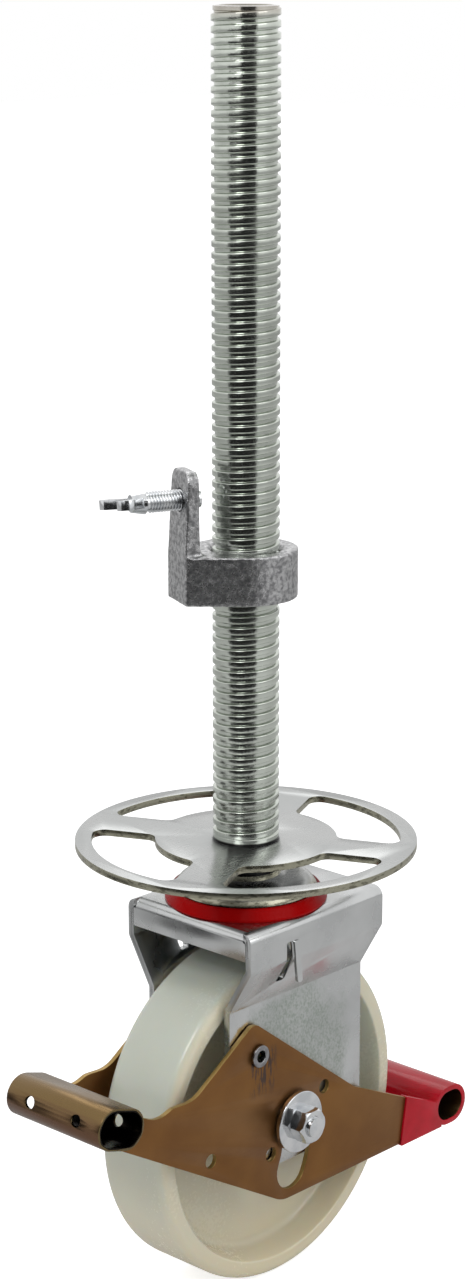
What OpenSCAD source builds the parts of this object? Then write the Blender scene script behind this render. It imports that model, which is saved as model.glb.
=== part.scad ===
// Scaffold castor: a threaded jack spindle with a hand disc and a collar nut, over a swivelling
// sheet-steel fork with a load-centring brake. All sizes are in millimetres.
// The origin is the top end of the spindle. Z is up, the wheel rolls along X and its axle lies along Y.

/* [Spindle] */
// Outside diameter of the threaded tube
spindle_d = 38; // [36:0.1:42]
// Wall of the threaded tube, measured to the crests
spindle_wall = 5; // [4:0.1:7]
// Spindle length above the hand disc
spindle_len = 468; // [380:1:620]
// Pitch of the spindle thread
thread_pitch = 6.35; // [5:0.05:8]
// Depth of the spindle thread
thread_depth = 1.65; // [1:0.05:2.2]
// Length of the plain turned end above the thread
plain_end_len = 6; // [5:0.5:12]
// How far the plain end is turned down below the crests, on the radius
plain_end_cut = 1; // [0.5:0.1:1.5]

/* [Hand disc] */
// Outside diameter of the hand disc
disc_d = 197; // [180:1:220]
// Sheet thickness of the hand disc
disc_t = 4; // [3:0.1:6]
// Width of the rim of the hand disc
disc_rim_w = 9.5; // [8:0.5:14]
// Diameter of the solid middle of the hand disc
disc_hub_d = 105; // [90:1:120]
// Width of each spoke of the hand disc
spoke_w = 27; // [18:1:36]
// Number of spokes, with a finger gap between each two
spoke_count = 4; // [3:1:5]
// Turn of the first spoke from the rolling direction
spoke_turn = 24.7; // [0:0.1:60]
// Corner radius of the finger gaps
window_r = 7; // [3:0.5:8]

/* [Swivel head] */
// Height from the fork's top face to the top face of the hand disc
head_h = 36; // [33:0.5:48]
// Diameter of the pressed swivel cap
cap_d = 84; // [78:0.5:88]
// Height of the swivel cap
cap_h = 7; // [6:0.1:8]
// Wall of the swivel cap
cap_t = 4; // [3:0.1:4.5]
// Diameter of the upper balls
upper_ball_d = 9; // [7:0.1:9.2]
// Number of upper balls
upper_ball_count = 20; // [12:1:21]
// Diameter of the lower balls
lower_ball_d = 6.4; // [5:0.1:7]
// Number of lower balls
lower_ball_count = 18; // [10:1:18]
// Diameter of the kingpin
kingpin_d = 16; // [12:0.5:18]

/* [Fork] */
// Sheet thickness of the fork
fork_t = 4; // [3:0.1:5]
// Outside width of the fork across its top
fork_top_w = 96.8; // [92:0.2:110]
// Gap between the two fork legs beside the wheel
fork_gap = 56; // [52:0.5:64]
// Depth of the wide upper part of the legs
fork_shoulder_h = 23; // [21:0.5:30]
// Height over which each leg steps inwards
fork_step_h = 28; // [24:0.5:32]
// Reach of the fork ahead of the swivel axis, on the lip side
fork_front = 48; // [46:0.5:60]
// Reach of the fork behind the swivel axis, on the pedal side
fork_rear = 65.5; // [62:0.5:80]
// Room from the top of the tread to the fork's top face
tread_room = 31; // [30:0.5:45]
// Length of the legs below the axle
leg_tail = 25.5; // [20:0.5:34]
// Depth of the turned-down lip on the front edge
lip_h = 16.5; // [8:0.5:18]
// Width of the slit beside the pressed tongue of each leg
slit_w = 4; // [3:0.5:6]
// Height of the slit and the tongue
slit_h = 26; // [15:0.5:28]

/* [Wheel] */
// Wheel diameter
wheel_d = 200; // [180:1:240]
// Width of the tread
tread_w = 50; // [40:0.5:52]
// Width across the hub ends
hub_w = 55; // [54:0.1:55.6]
// Diameter of the hub
hub_d = 50; // [44:0.5:60]
// Height of the rim flange on each side, from the tread to the recess
rim_h = 11; // [9:0.5:25]
// Thickness of the web between rim and hub
web_t = 16; // [10:0.5:24]
// Edge radius of the tread
tread_r = 6; // [3:0.5:9]

/* [Axle] */
// Axle bolt diameter
axle_d = 12; // [10:0.5:14]
// Width across the flats of the bolt head and the nut
hex_af = 19; // [18:0.5:24]
// Height of the bolt head
head_t = 7.5; // [6:0.1:9]
// Height of the nut
nut_t = 10; // [8:0.1:12]
// Washer diameter
washer_d = 37; // [30:0.5:40]
// Washer thickness
washer_t = 3; // [2:0.1:4]
// Diameter of the bush's flange, which follows the cam slot
cam_bush_d = 24; // [21:0.5:26]
// Diameter of the bush's neck, which slides in the fork's slot
neck_d = 16; // [15:0.5:18]
// Diameter of the rollers in the hub
roller_d = 6; // [4:0.1:7]
// Number of rollers
roller_count = 10; // [6:1:10]

/* [Rocker] */
// Thickness of the two rocker plates
rocker_t = 3; // [2:0.1:4]
// Gap between a fork leg and the rocker plate beside it
rocker_gap = 0.8; // [0.4:0.1:1.2]
// Handle tube's middle ahead of the tread
handle_room = 43; // [36:0.5:60]
// Handle tube's middle above the axle
handle_rise = 41; // [36:0.5:50]
// Pedal tube's middle behind the tread
pedal_room = 43; // [36:0.5:60]
// Pedal tube's middle below the axle
pedal_drop = 36.3; // [30:0.5:38]
// Lower edge of the rocker plates below the axle
plate_drop = 47.5; // [46:0.5:56]
// Top corner of the rocker plates ahead of the axle
apex_x = 35.2; // [32:0.5:40]
// Top corner of the rocker plates above the axle
apex_z = 70.8; // [68:0.5:76]
// Pivot of the rocker ahead of the axle
pivot_x = 31.5; // [28:0.5:36]
// Pivot of the rocker above the axle
pivot_z = 49.8; // [46:0.5:54]
// Turn of the rocker from braked to free
rocker_swing = 34.3; // [28:0.1:36]
// Travel of the axle from braked to free
axle_travel = 36.3; // [30:0.1:38]
// Width of the flattened handle tube
handle_w = 36; // [32:0.5:40]
// Height of the flattened handle tube
handle_h = 24; // [20:0.5:28]
// Tilt of the handle tube
handle_tilt = 17.2; // [10:0.1:25]
// Width of the flattened pedal tube
pedal_w = 27.5; // [24:0.5:32]
// Height of the flattened pedal tube
pedal_h = 22.5; // [18:0.5:25]
// Wall of both cross tubes
tube_wall = 2; // [1.5:0.1:3]
// Thickness of the red dipped coat on the pedal
coat_t = 1.2; // [0.8:0.1:1.6]

/* [Collar nut] */
// Height of the collar's lower edge above the hand disc
collar_lift = 143; // [120:1:200]
// Height of the collar ring
collar_h = 28; // [24:0.5:36]
// Outside diameter of the collar ring
collar_d = 58.8; // [54:0.2:66]
// Inner face of the arm from the spindle axis
arm_in = 33; // [31:0.5:36]
// Thickness of the arm at its foot
arm_t = 9; // [7:0.5:11]
// Width of the arm
arm_w = 28; // [22:0.5:32]
// Height of the arm's tip above the collar's lower edge
arm_h = 75; // [66:0.5:84]
// Height of the wing screw above the collar's lower edge
screw_lift = 58; // [52:0.5:60]
// Direction of the arm from the rolling direction
arm_turn = 155.7; // [150:0.1:160]
// Wing screw diameter
screw_d = 12; // [8:0.5:12]
// Span of the wings of the wing screw
wing_span = 39; // [34:0.5:50]

/* [Clearances] */
// Running clearance of pins and fits, on the radius
fit_gap = 0.1; // [0.05:0.01:0.1]
// Clearance of faces and surfaces that pass each other
free_gap = 0.3; // [0.3:0.05:0.4]

/* [Hidden] */
$fn = 96;

// Side of the castor that a mirrored piece belongs to, as the sign of its Y
FRONT = -1;
BACK = 1;

zinc = [0.77, 0.78, 0.77];
bright_zinc = [0.84, 0.85, 0.86];
cast_grey = [0.55, 0.57, 0.58];
bronze = [0.42, 0.28, 0.16];
gold_zinc = [0.66, 0.58, 0.36];
red_coat = [0.72, 0.06, 0.14];
ivory = [0.80, 0.78, 0.69];
dark_steel = [0.35, 0.36, 0.38];

// Heights down the castor, from the spindle's top end at zero
disc_z = -spindle_len;
fork_z = disc_z - head_h;
wheel_r = wheel_d/2;
axle_drop = wheel_r + tread_room;
axle_z = fork_z - axle_drop;
cap_z = fork_z + 2*cap_h;
under_fork_z = fork_z - fork_t;
collar_z = disc_z + collar_lift;

// Spindle
spindle_r = spindle_d/2;
spindle_bore_r = spindle_r - spindle_wall;
thread_runout = 3;
crest_w = 0.34*thread_pitch;
flank_w = 0.16*thread_pitch;
thread_top = -plain_end_len;
thread_turns = floor((spindle_len - plain_end_len - thread_runout)/thread_pitch);
end_chamfer = 1;
weld_w = 4;

// Swivel head
swivel_bend_r = 11;
upper_race_r = cap_d/2 - swivel_bend_r + 1.5;
upper_ball_z = fork_z + upper_ball_d/2 + free_gap;
lower_race_r = kingpin_d/2 + 12;
lower_ball_z = under_fork_z - lower_ball_d/2 - free_gap;
cup_t = 3;
cup_floor_z = lower_ball_z - lower_ball_d/2 - free_gap - cup_t;
cup_r = lower_race_r + lower_ball_d/2 + free_gap + cup_t;
kingpin_head_d = 2*(spindle_bore_r - 1);
kingpin_head_t = 10;
kingpin_nut_t = 8;
kingpin_nut_af = 1.5*kingpin_d;
kingpin_end_z = cup_floor_z - kingpin_nut_t - 0.5;

// Fork
leg_in = fork_gap/2;
leg_out = leg_in + fork_t;
fork_bend_r = 6;
step_bend_r = 6;
leg_corner_r = 15;
lip_bend_r = 5.5;
lip_half = fork_top_w/2 - fork_bend_r;
rest_x = 4.05;
step_lean = atan((fork_top_w/2 - leg_out)/fork_step_h);
inner_rise = fork_t*tan(step_lean/2);
leg_foot = axle_drop + leg_tail;
slit_x = -18;
slit_top = 12;

// Brake inside the fork
pad_z = axle_z + wheel_r + free_gap;
bridge_z = kingpin_end_z - 0.6;
bridge_t = 3;
bridge_len = 40;
pad_len = 40;
pad_w = tread_w - 8;
pad_teeth = 5;

// Stack along the axle, as distances from the wheel's middle plane
plate_in = leg_out + rocker_gap;
plate_out = plate_in + rocker_t;
washer_in = plate_out + 1.5;
washer_out = washer_in + washer_t;
bush_end = leg_in - 0.2;
axle_r = axle_d/2;
axle_bore_r = axle_r + fit_gap;
sleeve_r = axle_r + 4;
roller_len = 46;
cage_len = 52;
roller_ring_r = sleeve_r + fit_gap + roller_d/2;
hub_bore_r = roller_ring_r + roller_d/2 + fit_gap;
recess_r = wheel_r - rim_h;

// Rocker, in X and Z from the braked axle
pivot = [-pivot_x, pivot_z];
pivot_r = 5;
rivet_flange_r = 6.6;
rivet_bore_r = 3.5;
rivet_flange_t = 1.8;
rivet_foot_t = 1;
cam_r = cam_bush_d/2 + free_gap;
cam_steps = 8;
handle_c = [-wheel_r - handle_room, handle_rise];
pedal_c = [wheel_r + pedal_room, -pedal_drop];
plate_foot = -plate_drop;
light_holes = [[0.8*pivot_x, 0.26*pivot_z], [-0.67*pivot_x, -0.3*pivot_z], [handle_c[0]/2, -0.042*pivot_z]];
dip_start = pedal_c[0] - 0.98*pedal_room;
tube_lap = 8;
light_hole_r = 4.3;
grip_hole_r = 3.5;
tube_half = plate_out + 0.8;
coat_half = tube_half + 0.4;

// Collar and wing screw
collar_r = collar_d/2;
arm_tip_t = 6.5;
arm_corner_r = 7;
arm_fillet_r = 5;
bore_chamfer = 2.5;
arm_out = arm_in + arm_t;
screw_r = screw_d/2;
screw_tip_r = 28.3;
screw_hub_in = 61;
screw_hub_out = 69;
screw_hub_r = 6.5;
wing_t = 5.5;
wing_tip_r = 5.2;
wing_reach = 7.5;
wing_tilt = 10;
collar_bore_r = spindle_r + free_gap;

// Points along an arc
function arc(c, r, a0, a1, n = 12) = [for (i = [0:n])
    c + r*[cos(a0 + (a1 - a0)*i/n), sin(a0 + (a1 - a0)*i/n)]];

function unit(v) = v/norm(v);

// Points that round the corner b between its neighbours a and c
function corner(a, b, c, r, n = 8) =
    let (
        u = unit(a - b),
        w = unit(c - b),
        half = acos(u*w)/2,
        m = b + unit(u + w)*r/sin(half),
        p = b + u*r/tan(half) - m,
        q = b + w*r/tan(half) - m,
        start = atan2(p[1], p[0]),
        turn = (atan2(q[1], q[0]) - start + 540) % 360 - 180
    )
    [for (i = [0:n]) m + r*[cos(start + turn*i/n), sin(start + turn*i/n)]];

// Closed outline through corner points, each with its own radius; zero keeps a corner sharp
function rounded(points, radii) =
    let (n = len(points))
    [for (i = [0:n - 1])
        each (radii[i] == 0 ? [points[i]]
            : corner(points[(i + n - 1) % n], points[i], points[(i + 1) % n], radii[i]))];

// Outline of a flattened tube: two flats joined by half rounds
function flat_oval(w, h) = concat(
    arc([(w - h)/2, 0], h/2, -90, 90, 16),
    arc([(h - w)/2, 0], h/2, 90, 270, 16));

// A point turned about the rocker's pivot
function about_pivot(p, a) = pivot + [
    (p - pivot)[0]*cos(a) - (p - pivot)[1]*sin(a),
    (p - pivot)[0]*sin(a) + (p - pivot)[1]*cos(a)];

// Path of the sliding axle as the turning rocker sees it, from braked to free
function cam_point(t) = about_pivot([axle_travel*t, 0], -rocker_swing*t);
function cam_heading(t) =
    let (d = cam_point(t + 0.01) - cam_point(t - 0.01)) atan2(d[1], d[0]);

// Outline of the cam slot: a band of constant width along that path, with round ends
function cam_slot() = concat(
    [for (i = [0:cam_steps]) let (t = i/cam_steps, a = cam_heading(t) + 90)
        cam_point(t) + cam_r*[cos(a), sin(a)]],
    arc(cam_point(1), cam_r, cam_heading(1) + 90, cam_heading(1) - 90, 12),
    [for (i = [cam_steps:-1:0]) let (t = i/cam_steps, a = cam_heading(t) - 90)
        cam_point(t) + cam_r*[cos(a), sin(a)]],
    arc(cam_point(0), cam_r, cam_heading(0) + 270, cam_heading(0) + 90, 12));

// Turned ring between two heights
module ring(r_out, r_in, z0, z1) {
    difference() {
        translate([0, 0, z0]) cylinder(r = r_out, h = z1 - z0);
        translate([0, 0, z0 - 1]) cylinder(r = r_in, h = z1 - z0 + 2);
    }
}

// Plain rod along Y between two distances from the middle plane, on one side
module side_rod(side, r, y0, y1) {
    rotate([side == FRONT ? 90 : -90, 0, 0]) translate([0, 0, y0]) cylinder(r = r, h = y1 - y0);
}

// Flat outline in X and Z, made a plate between two distances from the middle plane
module side_plate(side, y0, y1) {
    translate([0, side == FRONT ? -y0 : y1, 0]) rotate([90, 0, 0])
        linear_extrude(height = y1 - y0) children();
}

module at_axle() {
    translate([rest_x, 0, axle_z]) children();
}

// Hexagon with both faces chamfered on the corners
module hex_head(af, h) {
    edge_r = af/2 + 0.2;
    chamfer = h/4;
    intersection() {
        cylinder(r = af/sqrt(3), h = h, $fn = 6);
        rotate_extrude() polygon([[0, 0], [edge_r, 0], [edge_r + 2, chamfer], [edge_r + 2, h - chamfer],
            [edge_r, h], [0, h]]);
    }
}

module hex_nut(af, h, bore_r) {
    difference() {
        hex_head(af, h);
        translate([0, 0, -1]) cylinder(r = bore_r, h = h + 2);
    }
}

// Threaded tube. Each turn of the thread is a ridge of the true pitch, depth and crest.
function ridge(i) =
    let (z = thread_top - i*thread_pitch)
    [[spindle_r, z], [spindle_r, z - crest_w],
        [spindle_r - thread_depth, z - crest_w - flank_w],
        [spindle_r - thread_depth, z - thread_pitch + flank_w]];

module spindle() {
    plain_r = spindle_r - plain_end_cut;
    profile = concat(
        [[spindle_bore_r, 0], [plain_r - end_chamfer/2, 0], [plain_r, -end_chamfer/2],
            [plain_r, thread_top]],
        [for (i = [0:thread_turns - 1]) each ridge(i)],
        [[spindle_r, thread_top - thread_turns*thread_pitch], [spindle_r, cap_z],
            [spindle_bore_r, cap_z]]);
    color(zinc) rotate_extrude() polygon(profile);
}

// Flat ring with spokes, welded to the spindle from below
module hand_disc() {
    rim_in = disc_d/2 - disc_rim_w;
    color(zinc) {
        difference() {
            translate([0, 0, disc_z - disc_t]) linear_extrude(height = disc_t) difference() {
                circle(r = disc_d/2, $fn = 180);
                circle(r = spindle_r);
                for (i = [0:spoke_count - 1]) rotate(spoke_turn + (i + 0.5)*360/spoke_count)
                    disc_window(rim_in);
            }
        }
        weld_bead(disc_z - disc_t, -1);
    }
}

// One finger gap, between two parallel spokes, the hub and the rim
module disc_window(rim_in) {
    half = 180/spoke_count;
    offset(r = window_r) offset(delta = -window_r) difference() {
        circle(r = rim_in, $fn = 128);
        circle(r = disc_hub_d/2);
        for (a = [-half, half]) rotate(a) translate([-disc_d, -spoke_w/2]) square([2*disc_d, spoke_w]);
        rotate(90 + half) translate([0, 0]) square(2*disc_d);
        rotate(180 - half) square(2*disc_d);
        rotate(180) translate([0, -disc_d]) square(2*disc_d);
    }
}

// Fillet weld round the spindle, rising from a flat face
module weld_bead(z, up) {
    root = z - up*weld_w/4;
    rotate_extrude() polygon([[spindle_r, root], [spindle_r + weld_w, root], [spindle_r + weld_w, z],
        [spindle_r + weld_w/3, z + up*weld_w/3], [spindle_r, z + up*weld_w]]);
}

// Pressed cap with a rolled rim, which carries the upper race
module swivel_cap() {
    centre = [cap_d/2 - swivel_bend_r, cap_z - swivel_bend_r];
    out_end = asin((swivel_bend_r - cap_h)/swivel_bend_r);
    in_end = asin((swivel_bend_r - cap_h)/(swivel_bend_r - cap_t));
    color(zinc) {
        rotate_extrude() polygon(concat(
            [[kingpin_d/2 + fit_gap, cap_z]],
            arc(centre, swivel_bend_r, 90, out_end),
            arc(centre, swivel_bend_r - cap_t, in_end, 90),
            [[kingpin_d/2 + fit_gap, cap_z - cap_t]]));
        weld_bead(cap_z, 1);
    }
}

module kingpin() {
    color(dark_steel) {
        translate([0, 0, kingpin_end_z]) cylinder(d = kingpin_d, h = cap_z - kingpin_end_z);
        translate([0, 0, cap_z]) cylinder(d = kingpin_head_d, h = kingpin_head_t);
    }
}

module kingpin_nut() {
    color(dark_steel) translate([0, 0, cup_floor_z - kingpin_nut_t])
        hex_nut(kingpin_nut_af, kingpin_nut_t, kingpin_d/2 + fit_gap);
}

// Pressed cup under the fork, which holds the lower balls
module lower_cup() {
    color(zinc) rotate_extrude() polygon(rounded([
        [kingpin_d/2 + fit_gap, cup_floor_z], [cup_r, cup_floor_z],
        [cup_r, under_fork_z - 1], [cup_r - cup_t, under_fork_z - 1],
        [cup_r - cup_t, cup_floor_z + cup_t], [kingpin_d/2 + fit_gap, cup_floor_z + cup_t]],
        [0, cup_t, 0, 0, 0.6, 0]));
}

module balls(count, ring_r, ball_d, z) {
    for (i = [0:count - 1]) rotate(i*360/count) translate([ring_r, 0, z]) sphere(d = ball_d, $fn = 48);
}

module upper_balls() {
    color(bright_zinc) balls(upper_ball_count, upper_race_r, upper_ball_d, upper_ball_z);
}

module lower_balls() {
    color(bright_zinc) balls(lower_ball_count, lower_race_r, lower_ball_d, lower_ball_z);
}

// Dust ring that flares from under the cap down to the fork
module seal_ring() {
    top_r = cap_d/2 + 1;
    foot_r = cap_d/2 + 5;
    seal_t = 2.2;
    top_z = cap_z - cap_h - free_gap;
    color(red_coat) rotate_extrude() polygon([
        [top_r - seal_t, top_z], [top_r, top_z], [foot_r, fork_z + 1.2], [foot_r, fork_z],
        [foot_r - seal_t - 0.6, fork_z]]);
}

// Section of the fork across the rolling direction, from the top face down both legs
function leg_line(inset) = [
    [fork_top_w/2 - inset, -inset],
    [fork_top_w/2 - inset, -fork_shoulder_h + (inset > 0 ? inner_rise : 0)],
    [leg_out - inset, -fork_shoulder_h - fork_step_h + (inset > 0 ? inner_rise : 0)],
    [leg_out - inset, -leg_foot]];
function mirrored(points) = [for (i = [len(points) - 1:-1:0]) [-points[i][0], points[i][1]]];

module fork_section() {
    inner_r = [fork_bend_r - fork_t, step_bend_r - fork_t, step_bend_r, 0];
    outer_r = [fork_bend_r, step_bend_r, step_bend_r - fork_t, 0];
    back_r = [for (i = [3:-1:0]) outer_r[i]];
    back_inner_r = [for (i = [3:-1:0]) inner_r[i]];
    polygon(rounded(
        concat(mirrored(leg_line(0)), leg_line(0), mirrored_back(leg_line(fork_t))),
        concat(back_r, outer_r, back_inner_r, inner_r)));
}
function mirrored_back(points) = concat(
    [for (i = [len(points) - 1:-1:0]) points[i]],
    [for (p = points) [-p[0], p[1]]]);

// Side outline of the fork, with the rounded feet of the legs
module fork_outline() {
    polygon(rounded([[-fork_front, 1], [fork_rear, 1],
        [fork_rear, -leg_foot], [-fork_front, -leg_foot]],
        [0, 0, leg_corner_r, leg_corner_r]));
}

// Slot in a leg in which the neck of the guide bush slides
module axle_slot() {
    slot_r = neck_d/2 + fit_gap;
    translate([rest_x, -axle_drop]) polygon(concat(
        arc([axle_travel, 0], slot_r, -90, 90, 24),
        arc([0, 0], slot_r, 90, 270, 24)));
}

// Slit beside the tongue, a little wider at its foot
module tongue_slit() {
    translate([slit_x, -slit_top]) polygon(rounded([
        [0, 0], [slit_w, 0], [slit_w + 3, -slit_h], [0, -slit_h]], [1.5, 1.5, 1.5, 1.5]));
}

// Tongue pushed out of the leg beside its slit
module tongue(side) {
    y0 = fork_top_w/2 - 0.5;
    side_plate(side, y0, y0 + 2) translate([slit_x + slit_w, -slit_top]) polygon(rounded([
        [1, 0], [5.5, 0], [8, -slit_h], [4, -slit_h]], [1, 1.5, 1.5, 1.5]));
}

// Folded sheet fork: flat top, stepped legs and a lip turned down at the front
module fork() {
    color(zinc) translate([0, 0, fork_z]) {
        difference() {
            intersection() {
                translate([-fork_front, 0, 0]) rotate([90, 0, 90])
                    linear_extrude(height = fork_front + fork_rear) fork_section();
                side_plate(BACK, -fork_top_w, fork_top_w) fork_outline();
            }
            translate([0, 0, -fork_t - 1]) cylinder(r = kingpin_d/2 + fit_gap, h = fork_t + 2);
            side_plate(BACK, -fork_top_w, fork_top_w) axle_slot();
            side_plate(BACK, -fork_top_w, fork_top_w) tongue_slit();
            translate([rest_x - pivot_x, fork_top_w, -axle_drop + pivot_z]) rotate([90, 0, 0])
                cylinder(r = pivot_r + fit_gap, h = 2*fork_top_w);
            lip_room();
        }
        lip();
        for (side = [FRONT, BACK]) tongue(side);
    }
}

// Room for the bend of the lip at the front edge of the top
module lip_room() {
    side_plate(BACK, -lip_half, lip_half) translate([-fork_front - 1, -fork_t - 1])
        square([lip_bend_r + 1, fork_t + 2]);
}

// Lip between the legs, bent down from the top
module lip() {
    side_plate(BACK, -lip_half, lip_half) translate([lip_bend_r - fork_front, -lip_bend_r]) polygon(concat(
        arc([0, 0], lip_bend_r, 90, 180),
        [[-lip_bend_r, lip_bend_r - lip_h], [fork_t - lip_bend_r, lip_bend_r - lip_h]],
        arc([0, 0], lip_bend_r - fork_t, 180, 90)));
    lip_end = fork_top_w/2 - fork_t - free_gap;
    side_plate(BACK, -lip_end, lip_end) translate([-fork_front, -lip_h])
        square([fork_t, lip_h - lip_bend_r]);
}

// Half of the room between the stepped parts of the legs at a height
function step_half(z) =
    fork_top_w/2 - fork_t - (fork_z - z - fork_shoulder_h + inner_rise)*tan(step_lean) - fit_gap;

// Strap across the inside of the fork that carries the brake pad, cut to the slope of the legs
module brake_bridge() {
    top = step_half(bridge_z);
    foot = step_half(bridge_z - bridge_t);
    color(zinc) translate([-bridge_len/2, 0, 0]) rotate([90, 0, 90]) linear_extrude(height = bridge_len)
        polygon([[-top, bridge_z], [top, bridge_z],
            [foot, bridge_z - bridge_t], [-foot, bridge_z - bridge_t]]);
}

// Toothed block over the tread of the braked wheel
module brake_pad() {
    pitch = pad_len/pad_teeth;
    color(dark_steel) translate([rest_x - pad_len/2, pad_w/2, 0]) rotate([90, 0, 0])
        linear_extrude(height = pad_w) polygon(concat(
            [[0, bridge_z - bridge_t]],
            [for (i = [0:pad_teeth - 1]) each [
                [i*pitch, pad_z + 1.2], [(i + 0.35)*pitch, pad_z],
                [(i + 0.65)*pitch, pad_z], [(i + 1)*pitch, pad_z + 1.2]]],
            [[pad_len, bridge_z - bridge_t]]));
}

// Hollow rivet through a fork leg and its rocker plate
module pivot_rivet(side) {
    outer = plate_out + free_gap;
    inner = leg_in;
    color(bronze) at_axle() translate([pivot[0], 0, pivot[1]]) difference() {
        union() {
            side_rod(side, pivot_r, inner - rivet_foot_t, outer);
            side_rod(side, rivet_flange_r, inner - rivet_foot_t, inner);
            side_rod(side, rivet_flange_r, outer, outer + rivet_flange_t);
        }
        side_rod(side, rivet_bore_r, inner - 2*rivet_flange_t, outer + 2*rivet_flange_t);
    }
}

// Flat blank of a rocker plate, before its slot and holes
function rocker_outline() = rounded([
    [-apex_x, apex_z], [1.5*apex_x, 0.058*apex_z],
    [pedal_c[0] - tube_lap, pedal_c[1] + 2], [pedal_c[0] - tube_lap, plate_foot],
    [-0.33*apex_x, plate_foot],
    [handle_c[0] - 3, handle_c[1] - 0.45*handle_h], [handle_c[0] - 3, handle_c[1] + 0.45*handle_h],
    [0.79*handle_c[0], 0.88*handle_c[1]], [0.713*handle_c[0], 0.975*handle_c[1]],
    [0.594*handle_c[0], 0.95*handle_c[1]]],
    [7, 25, 0, 0, 22, 0, 0, 18, 12, 20]);

module handle_oval(grow = 0) {
    translate(handle_c) rotate(-handle_tilt) polygon(flat_oval(handle_w + 2*grow, handle_h + 2*grow));
}

module pedal_oval(grow = 0) {
    translate(pedal_c) polygon(flat_oval(pedal_w + 2*grow, pedal_h + 2*grow));
}

module rocker_plate(side) {
    color(bronze) at_axle() difference() {
        side_plate(side, plate_in, plate_out) difference() {
            polygon(rocker_outline());
            polygon(cam_slot());
            handle_oval();
            pedal_oval();
        }
        translate([pivot[0], 0, pivot[1]]) side_rod(side, pivot_r + fit_gap, plate_in - 1, plate_out + 1);
        for (p = light_holes) translate([p[0], 0, p[1]])
            side_rod(side, light_hole_r, plate_in - 1, plate_out + 1);
    }
}

// Flattened tube across the two plates, drilled through its narrow sides
module handle_tube() {
    color(gold_zinc) at_axle() difference() {
        side_plate(BACK, -tube_half, tube_half) difference() {
            handle_oval();
            handle_oval(-tube_wall);
        }
        for (side = [FRONT, BACK]) translate([handle_c[0], side*tube_half/2, handle_c[1]])
            rotate([0, 90 + handle_tilt, 0]) translate([0, 0, -handle_w])
                cylinder(r = grip_hole_r, h = 2*handle_w);
    }
}

module pedal_tube() {
    color(gold_zinc) at_axle() side_plate(BACK, -tube_half, tube_half) difference() {
        pedal_oval();
        pedal_oval(-tube_wall);
    }
}

// Outline of the part of a plate that is dipped with the pedal
module dipped_cheek() {
    lean = 0.235*pedal_h;
    polygon(rounded([
        [dip_start, pedal_c[1] + 0.78*pedal_h + coat_t],
        [pedal_c[0] - tube_lap, pedal_c[1] + 2 + 1.1*coat_t],
        [pedal_c[0] - tube_lap, plate_foot - coat_t],
        [dip_start - lean, plate_foot - coat_t]], [1, 0, 0, 1]));
}

// Red coat over the pedal tube and over both plates beside it
module pedal_cover() {
    color(red_coat) at_axle() difference() {
        union() {
            side_plate(BACK, -coat_half, coat_half) pedal_oval(coat_t);
            for (side = [FRONT, BACK]) side_plate(side, plate_in - coat_t, plate_out + coat_t)
                dipped_cheek();
        }
        side_plate(BACK, -tube_half, tube_half) pedal_oval();
        side_plate(BACK, -2*coat_half, 2*coat_half) pedal_oval(-tube_wall);
        for (side = [FRONT, BACK]) side_plate(side, plate_in, plate_out) polygon(rocker_outline());
    }
}

module axle_bolt() {
    color(bright_zinc) at_axle() {
        side_rod(FRONT, axle_r, -washer_out, washer_out + nut_t + 2);
        rotate([-90, 0, 0]) translate([0, 0, washer_out]) hex_head(hex_af, head_t);
    }
}

module axle_nut() {
    color(bright_zinc) at_axle() rotate([90, 0, 0]) translate([0, 0, washer_out])
        hex_nut(hex_af, nut_t, axle_bore_r);
}

module washer(side) {
    color(bright_zinc) at_axle() difference() {
        side_rod(side, washer_d/2, washer_in, washer_out);
        side_rod(side, axle_bore_r, washer_in - 1, washer_out + 1);
    }
}

// Stepped bush: its neck slides in the fork and its flange follows the rocker's cam slot
module guide_bush(side) {
    color(dark_steel) at_axle() difference() {
        union() {
            side_rod(side, neck_d/2, bush_end, leg_out + free_gap);
            side_rod(side, cam_bush_d/2, leg_out + free_gap, washer_in);
        }
        side_rod(side, axle_bore_r, bush_end - 1, washer_in + 1);
    }
}

module bearing_sleeve() {
    color(dark_steel) at_axle() rotate([90, 0, 0]) ring(sleeve_r, axle_bore_r, -bush_end, bush_end);
}

module roller_places() {
    for (i = [0:roller_count - 1]) rotate(i*360/roller_count) translate([roller_ring_r, 0, 0]) children();
}

module roller_cage() {
    color(gold_zinc) at_axle() rotate([90, 0, 0]) difference() {
        ring(roller_ring_r + 1.9, roller_ring_r - 1.9, -cage_len/2, cage_len/2);
        roller_places() translate([0, 0, -roller_len/2 - free_gap])
            cylinder(r = roller_d/2 + 0.2, h = roller_len + 2*free_gap, $fn = 48);
    }
}

module rollers() {
    color(bright_zinc) at_axle() rotate([90, 0, 0]) roller_places()
        translate([0, 0, -roller_len/2]) cylinder(d = roller_d, h = roller_len, $fn = 48);
}

// Moulded wheel: rim with rounded tread edges, recessed web and a long hub
function wheel_half() = [
    [hub_bore_r, hub_w/2], [hub_d/2, hub_w/2], [hub_d/2 + 3, web_t/2 + 3],
    [recess_r - 4, web_t/2], [recess_r, tread_w/2], [wheel_r, tread_w/2]];
function wheel_half_r() = [0, 1.5, 5, 6, 1.2, tread_r];

module wheel() {
    half = wheel_half();
    radii = wheel_half_r();
    last = len(half) - 1;
    color(ivory) at_axle() rotate([90, 0, 0]) rotate_extrude($fn = 180) polygon(rounded(
        concat(half, [for (i = [last:-1:0]) [half[i][0], -half[i][1]]]),
        concat(radii, [for (i = [last:-1:0]) radii[i]])));
}

// Plan of the collar: a ring drawn out to the foot of its arm
module collar_plan() {
    hull() {
        circle(r = collar_r);
        translate([arm_out - 2, -arm_w/2]) square([2, arm_w]);
    }
}

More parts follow.
